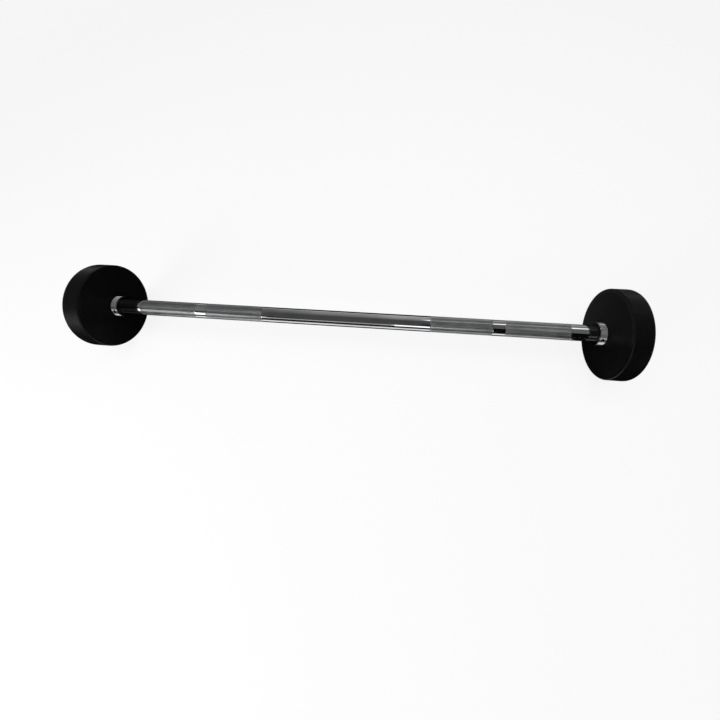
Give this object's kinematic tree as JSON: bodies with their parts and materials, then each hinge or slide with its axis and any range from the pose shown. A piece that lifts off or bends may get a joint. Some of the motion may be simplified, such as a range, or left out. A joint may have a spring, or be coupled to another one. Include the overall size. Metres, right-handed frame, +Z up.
{
  "type": "straight barbell",
  "caption": "Straight fixed-weight barbell with a knurled chrome handle, chrome collar rings and round rubber-covered iron heads bolted to its ends.",
  "frame": {"origin": "middle of the handle's axis, halfway between the two heads", "axes": "+X along the handle towards the right head, +Z up, so that the barbell lies on its heads on a floor at z = -0.0763 m"},
  "size_m": [0.9468, 0.1526, 0.1526],
  "materials": {
    "chrome_plate": "bright chrome plate, knurled on the grips",
    "black_rubber": "smooth moulded rubber, low sheen",
    "cast_iron": "rough casting, hidden under the rubber",
    "zinc_plated_steel": "zinc plated",
    "black_oxide_steel": "black oxide",
    "black_plastic": "satin moulded plastic"
  },
  "bodies": {
    "root": {"handle_bar": "chrome_plate", "collar_ring_left": "chrome_plate", "collar_ring_right": "chrome_plate", "collar_set_screw_left": "black_oxide_steel", "collar_set_screw_right": "black_oxide_steel", "hub_bush_left": "zinc_plated_steel", "hub_bush_right": "zinc_plated_steel", "shaft_key_left": "zinc_plated_steel", "shaft_key_right": "zinc_plated_steel", "iron_core_left": "cast_iron", "iron_core_right": "cast_iron", "rubber_jacket_left": "black_rubber", "rubber_jacket_right": "black_rubber", "retaining_washer_left": "zinc_plated_steel", "retaining_washer_right": "zinc_plated_steel", "spring_washer_left": "zinc_plated_steel", "spring_washer_right": "zinc_plated_steel", "end_bolt_left": "black_oxide_steel", "end_bolt_right": "black_oxide_steel", "end_cap_left": "black_plastic", "end_cap_right": "black_plastic"}
  },
  "joints": []
}
